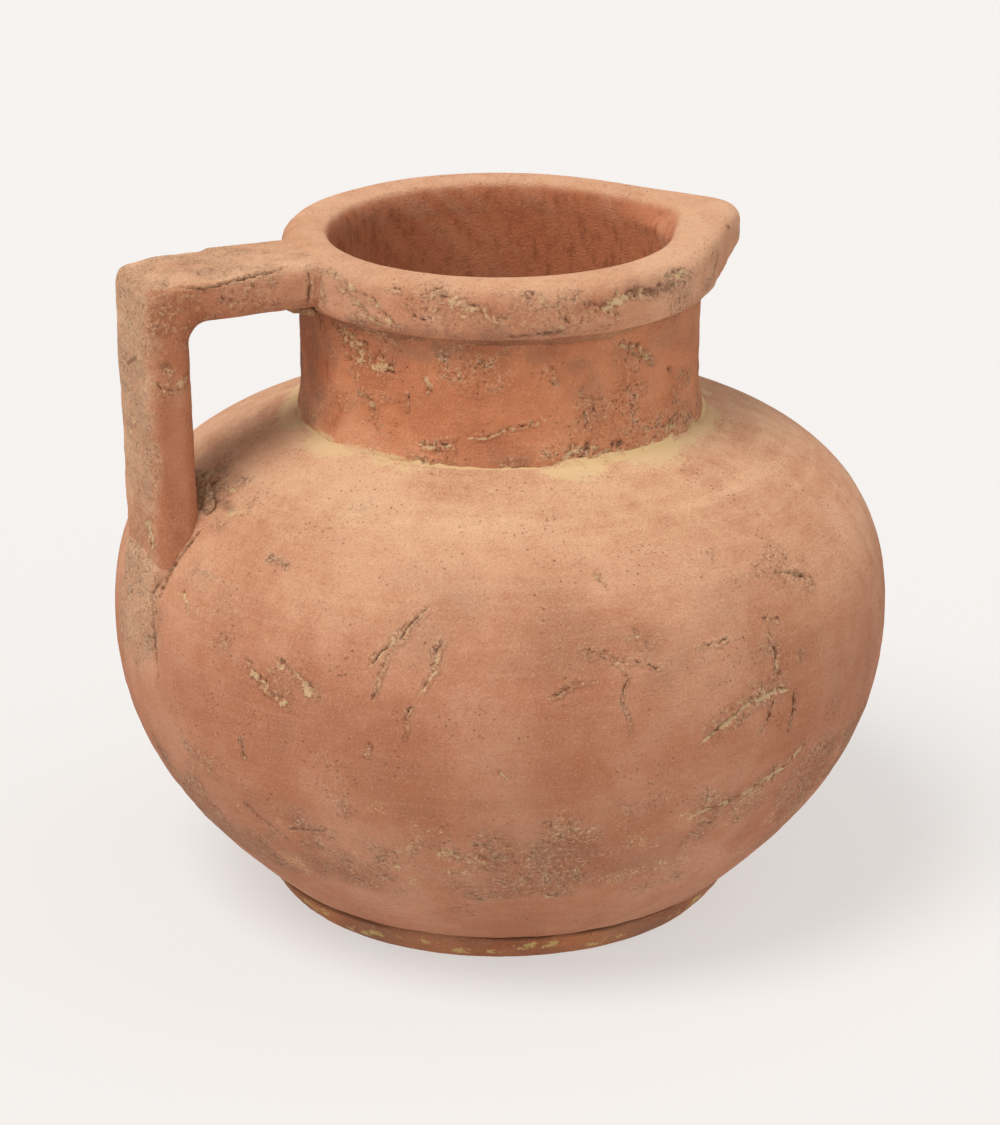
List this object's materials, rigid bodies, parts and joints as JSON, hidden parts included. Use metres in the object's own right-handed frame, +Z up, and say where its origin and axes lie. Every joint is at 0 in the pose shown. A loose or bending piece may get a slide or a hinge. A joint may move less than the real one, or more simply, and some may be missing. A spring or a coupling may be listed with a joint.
{
  "type": "ceramic pitcher",
  "caption": "Round-bellied terracotta pitcher with a straight neck, thick rolled rim, pinched beak, angular strap handle and low foot ring.",
  "frame": {"origin": "centre of the foot ring's sole, on the surface the pitcher stands on", "axes": "+Z up along the belly's axis, +X towards the pouring beak, -X towards the handle"},
  "size_m": [0.3, 0.3, 0.265],
  "materials": {
    "terracotta": "unglazed, chalky matte, coarse and weathered",
    "pale_slip": "dry ochre slip clay, matte and crumbly"
  },
  "bodies": {
    "root": {"body": "terracotta", "foot_ring": "terracotta", "neck": "terracotta", "rim": "terracotta", "handle_arm": "terracotta", "handle_post": "terracotta", "neck_slip": "pale_slip", "rim_slip": "pale_slip", "foot_slip": "pale_slip", "arm_wad": "pale_slip", "corner_wad": "pale_slip", "post_wad": "pale_slip"}
  },
  "joints": []
}
